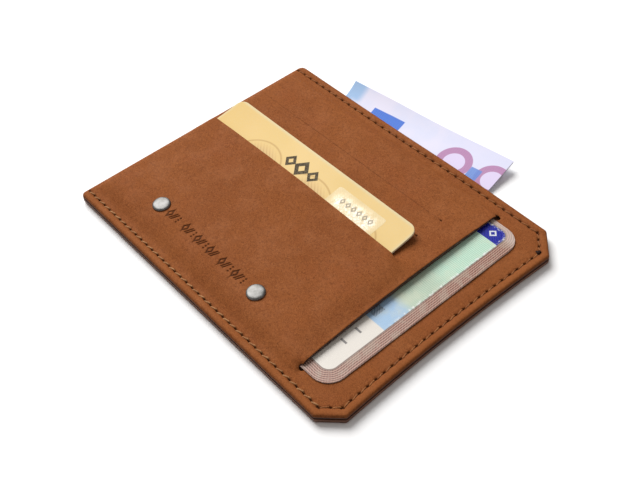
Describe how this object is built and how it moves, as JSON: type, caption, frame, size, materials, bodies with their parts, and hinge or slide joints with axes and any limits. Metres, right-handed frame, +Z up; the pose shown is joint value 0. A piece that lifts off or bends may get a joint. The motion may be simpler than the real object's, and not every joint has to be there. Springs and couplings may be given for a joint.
{
  "type": "bifold card wallet",
  "caption": "Slim bifold leather card wallet with slit card pockets, an upright slit for a laminated card, a banknote pocket, domed rivets and cut corners, holding cards and a folded note.",
  "frame": {"origin": "middle of the back cover's underside, where the closed wallet rests", "axes": "+X from the fold towards the free edge, +Y along the fold towards the banknote pocket's mouth, +Z up through the closed leaves"},
  "size_m": [0.122, 0.111, 0.0092],
  "materials": {
    "cover_leather": "matte nubuck, slightly mottled",
    "lining_leather": "smooth matte",
    "leatherboard": "matte",
    "backing_cloth": "thin woven lining",
    "thread": "waxed",
    "rivet_metal": "satin",
    "card_plastic": "satin gold print",
    "contact_metal": "polished",
    "silver_foil": "iridescent foil",
    "stripe_film": "smooth",
    "id_print": "printed",
    "clear_laminate": "clear gloss",
    "note_paper": "printed cotton paper"
  },
  "bodies": {
    "back_leaf": {"back_panel": "cover_leather", "back_lining": "lining_leather", "stitches_back_bottom": "thread", "stitches_back_side": "thread"},
    "spine": {"spine_fold": "cover_leather"},
    "front_leaf": {"front_panel": "cover_leather", "front_lining": "lining_leather", "interlining_board": "leatherboard", "pocket_backing_upper": "backing_cloth", "pocket_backing_middle": "backing_cloth", "pocket_backing_lower": "backing_cloth", "rivet_caps": "rivet_metal", "rivet_posts": "rivet_metal", "rivet_washers": "rivet_metal", "stitches_front_bottom": "thread", "stitches_front_side": "thread", "stitches_front_top": "thread"},
    "payment_card": {"payment_card": "card_plastic", "payment_card_chip": "contact_metal", "payment_card_foil": "silver_foil", "payment_card_stripe": "stripe_film"},
    "id_card": {"id_card_sheet": "id_print", "id_card_foils": "clear_laminate"},
    "banknote": {"banknote": "note_paper"}
  },
  "joints": [
    {"name": "back_fold", "type": "hinge", "parent": "back_leaf", "child": "spine", "pos_m": [-0.06, 0, 0.001], "axis": [0, -1, 0], "range_deg": [0, 90]},
    {"name": "front_fold", "type": "hinge", "parent": "spine", "child": "front_leaf", "pos_m": [-0.06, 0, 0.0027], "axis": [0, -1, 0], "range_deg": [0, 90]},
    {"name": "payment_card_slide", "type": "slide", "parent": "front_leaf", "child": "payment_card", "axis": [0, 0.9993, 0.0384], "range_m": [0, 0.042]},
    {"name": "id_card_slide", "type": "slide", "parent": "front_leaf", "child": "id_card", "axis": [1, 0, 0], "range_m": [0, 0.093]},
    {"name": "banknote_slide", "type": "slide", "parent": "back_leaf", "child": "banknote", "axis": [-0.1357, 0.9907, 0], "range_m": [0, 0.06]}
  ],
  "couplings": [
    {"joint": "front_fold", "follows": "back_fold", "ratio": 1}
  ]
}
